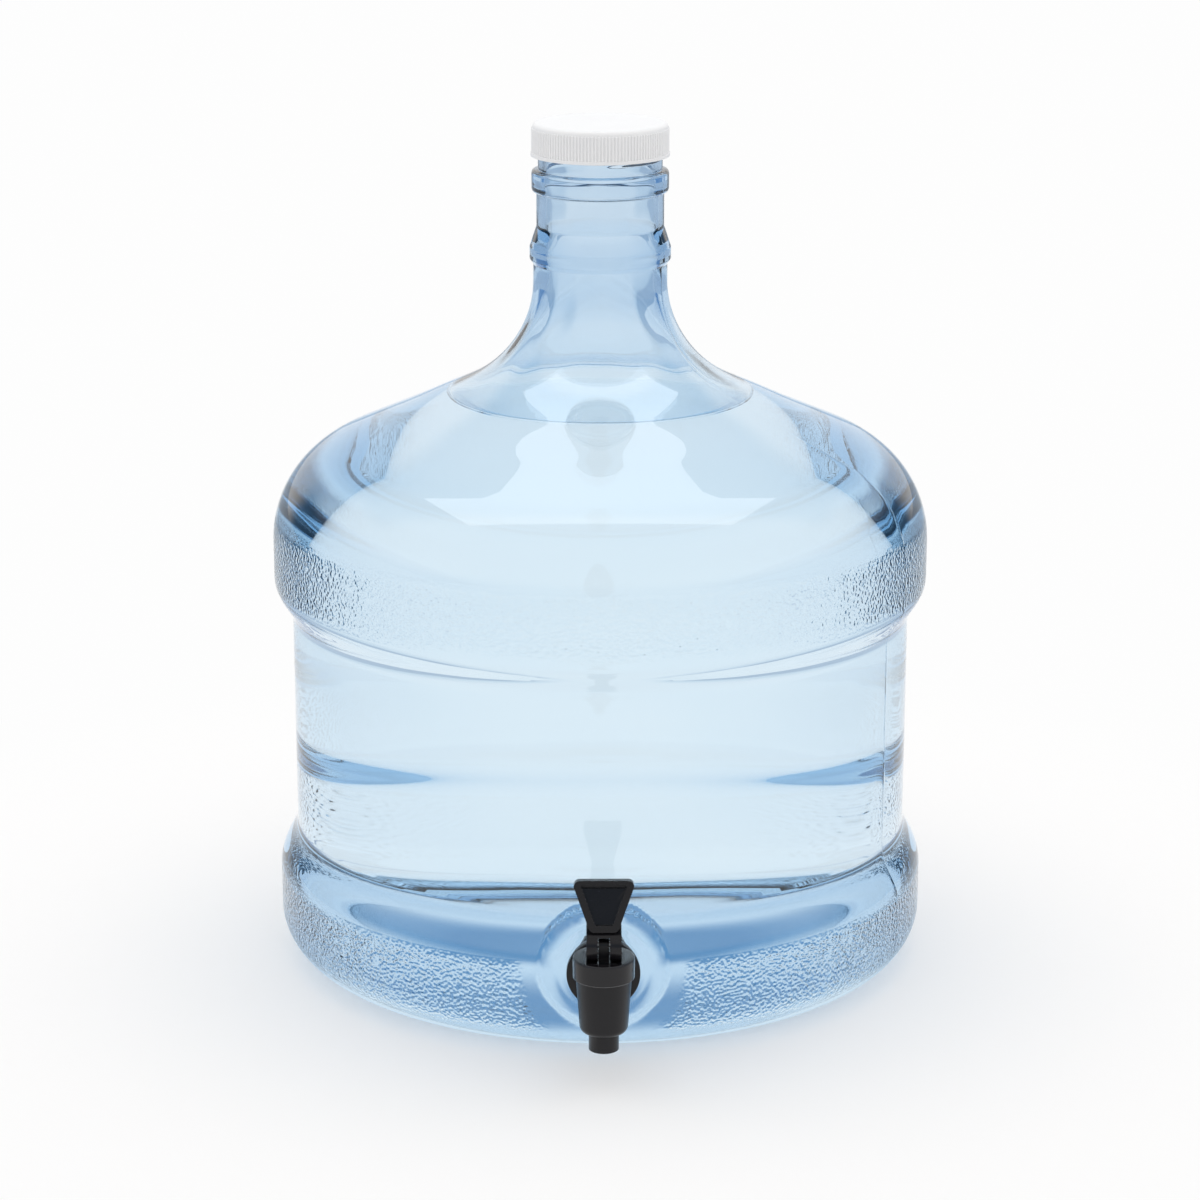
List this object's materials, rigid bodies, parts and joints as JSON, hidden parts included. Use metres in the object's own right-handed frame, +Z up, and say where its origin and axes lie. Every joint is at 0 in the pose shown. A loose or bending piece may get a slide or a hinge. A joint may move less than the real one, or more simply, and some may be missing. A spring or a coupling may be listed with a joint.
{
  "type": "water bottle with dispensing tap",
  "caption": "Round-shouldered blown polycarbonate water bottle with two grip bands, a narrow neck with a ribbed screw cap and a lever tap low on its side.",
  "frame": {"origin": "on the bottle's axis, in the plane of its standing ring", "axes": "+Z up along the bottle's axis to the neck, -Y out towards the tap, +X to the right seen from the tap's side"},
  "size_m": [0.267, 0.3002, 0.3445],
  "materials": {
    "clear_blue": "clear pale blue polycarbonate, smooth walls and pebbled bands",
    "white_cap": "white moulded polypropylene",
    "foam_liner": "white foamed sealing disc",
    "black_tap": "black moulded plastic, satin",
    "pin_steel": "plain steel pin",
    "silicone": "translucent white silicone"
  },
  "bodies": {
    "carboy": {"bottle": "clear_blue", "tap_body": "black_tap", "tap_bonnet": "black_tap", "seat_cup": "silicone", "outer_gasket": "silicone", "inner_gasket": "silicone", "back_nut": "black_tap"},
    "cap_carrier": {"cap_liner": "foam_liner"},
    "cap": {"screw_cap": "white_cap"},
    "stem": {"valve_stem": "black_tap"},
    "lever": {"tap_lever": "black_tap", "lever_pin": "pin_steel"}
  },
  "joints": [
    {"name": "cap_lift", "type": "slide", "parent": "carboy", "child": "cap_carrier", "axis": [0, 0, 1], "range_m": [0, 0.12]},
    {"name": "cap_turn", "type": "hinge", "parent": "cap_carrier", "child": "cap", "pos_m": [0, 0, 0.342], "axis": [0, 0, 1], "continuous": true},
    {"name": "stem_lift", "type": "slide", "parent": "carboy", "child": "stem", "axis": [0, 0, 1], "range_m": [0, 0.00269], "stiffness_N_per_m": 1200, "deforming": ["seat_cup"]},
    {"name": "lever_tilt", "type": "hinge", "parent": "stem", "child": "lever", "pos_m": [0, -0.155, 0.0563], "axis": [1, 0, 0], "range_deg": [0, 70]}
  ],
  "couplings": [
    {"joint": "lever_tilt", "follows": "stem_lift", "rad_per_m": 454.5}
  ]
}
